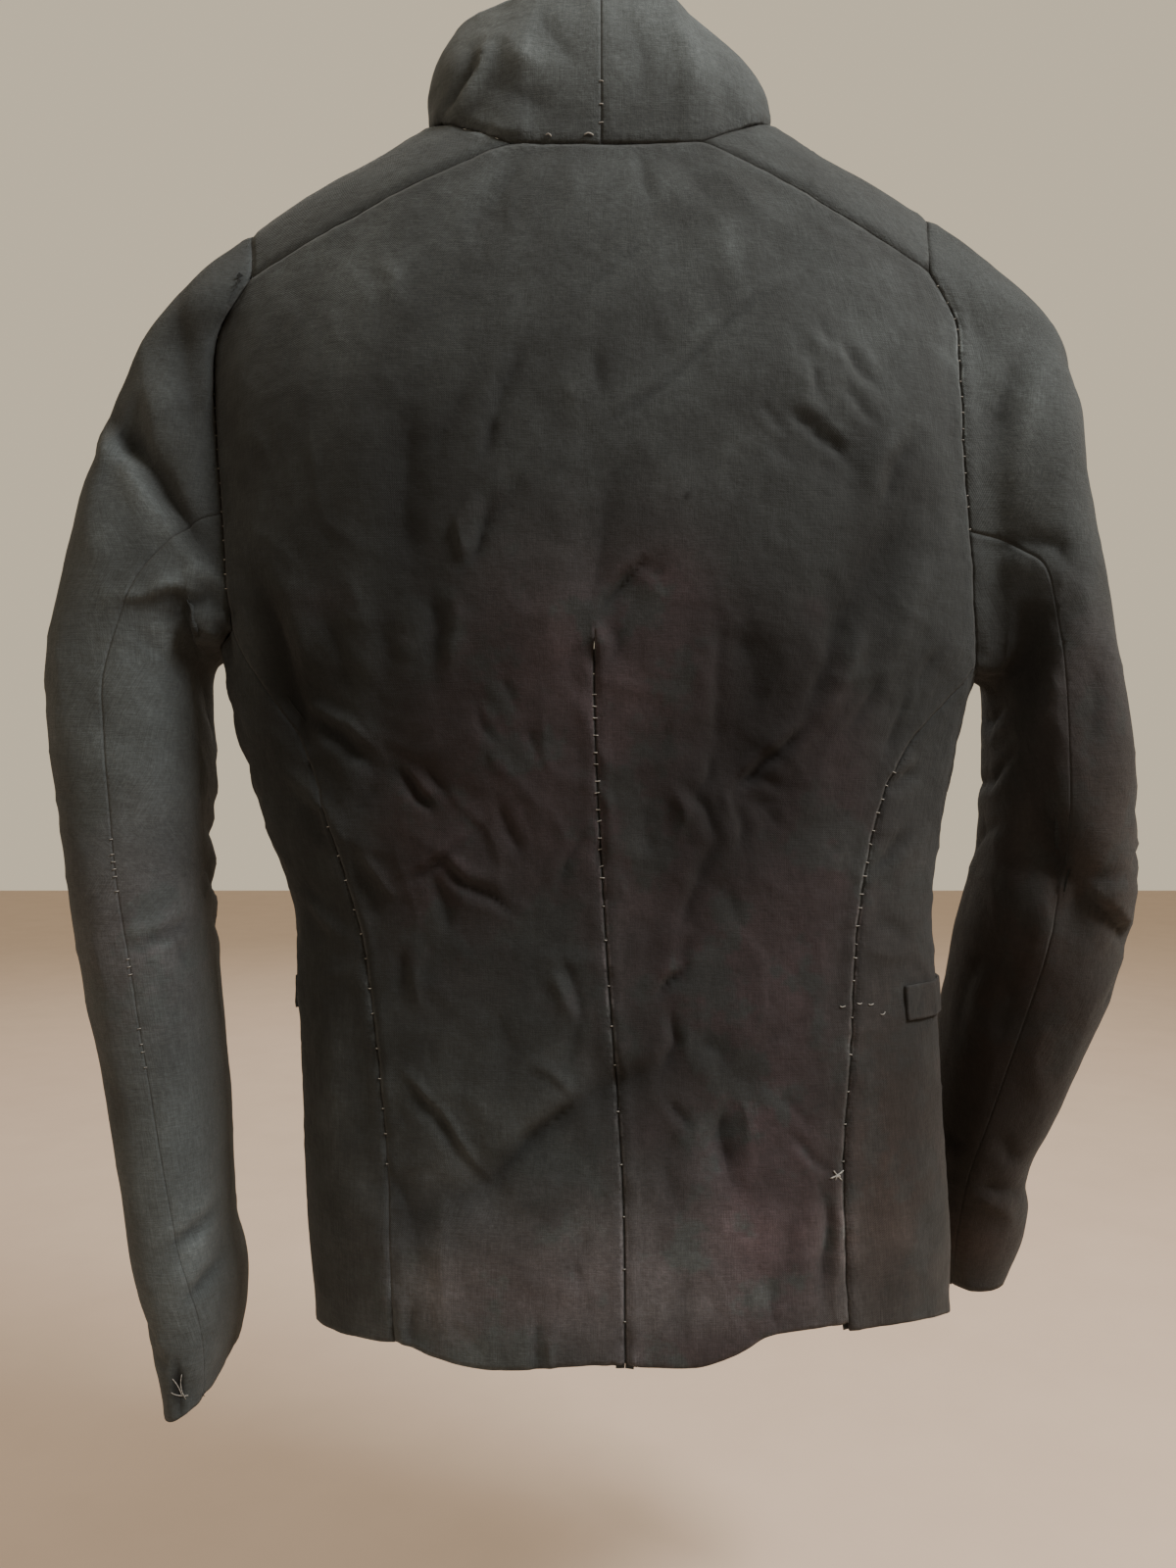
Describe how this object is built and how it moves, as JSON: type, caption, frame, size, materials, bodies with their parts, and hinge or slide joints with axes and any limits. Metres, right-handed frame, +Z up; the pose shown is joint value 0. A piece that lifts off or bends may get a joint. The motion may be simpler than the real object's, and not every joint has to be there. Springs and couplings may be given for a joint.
{
  "type": "canvas blazer",
  "caption": "Filled-out canvas blazer with a high standing collar, two-piece sleeves, side vents and hip pocket welts.",
  "frame": {"origin": "middle of the back neck seam, where the garment is held up", "axes": "+Z up, the back faces +Y and the fronts -Y, the wearer's left is +X"},
  "size_m": [0.6412, 0.2225, 0.8099],
  "materials": {
    "canvas": "matte washed black canvas with a dry slubbed weave",
    "worn_canvas": "matte washed black canvas, faded along its edges",
    "horn": "dark horn-like button, satin"
  },
  "bodies": {
    "root": {"back": "canvas", "button_1": "horn", "button_2": "horn", "button_3": "horn", "collar_left": "worn_canvas", "collar_right": "worn_canvas", "front_left": "canvas", "front_right": "canvas", "lapel_left": "worn_canvas", "lapel_right": "worn_canvas", "pocket_left": "worn_canvas", "pocket_right": "worn_canvas", "side_left": "canvas", "side_right": "canvas", "sleeve_top_left": "canvas", "sleeve_top_right": "canvas", "sleeve_under_left": "canvas", "sleeve_under_right": "canvas", "vent_left": "canvas", "vent_right": "canvas"}
  },
  "joints": []
}
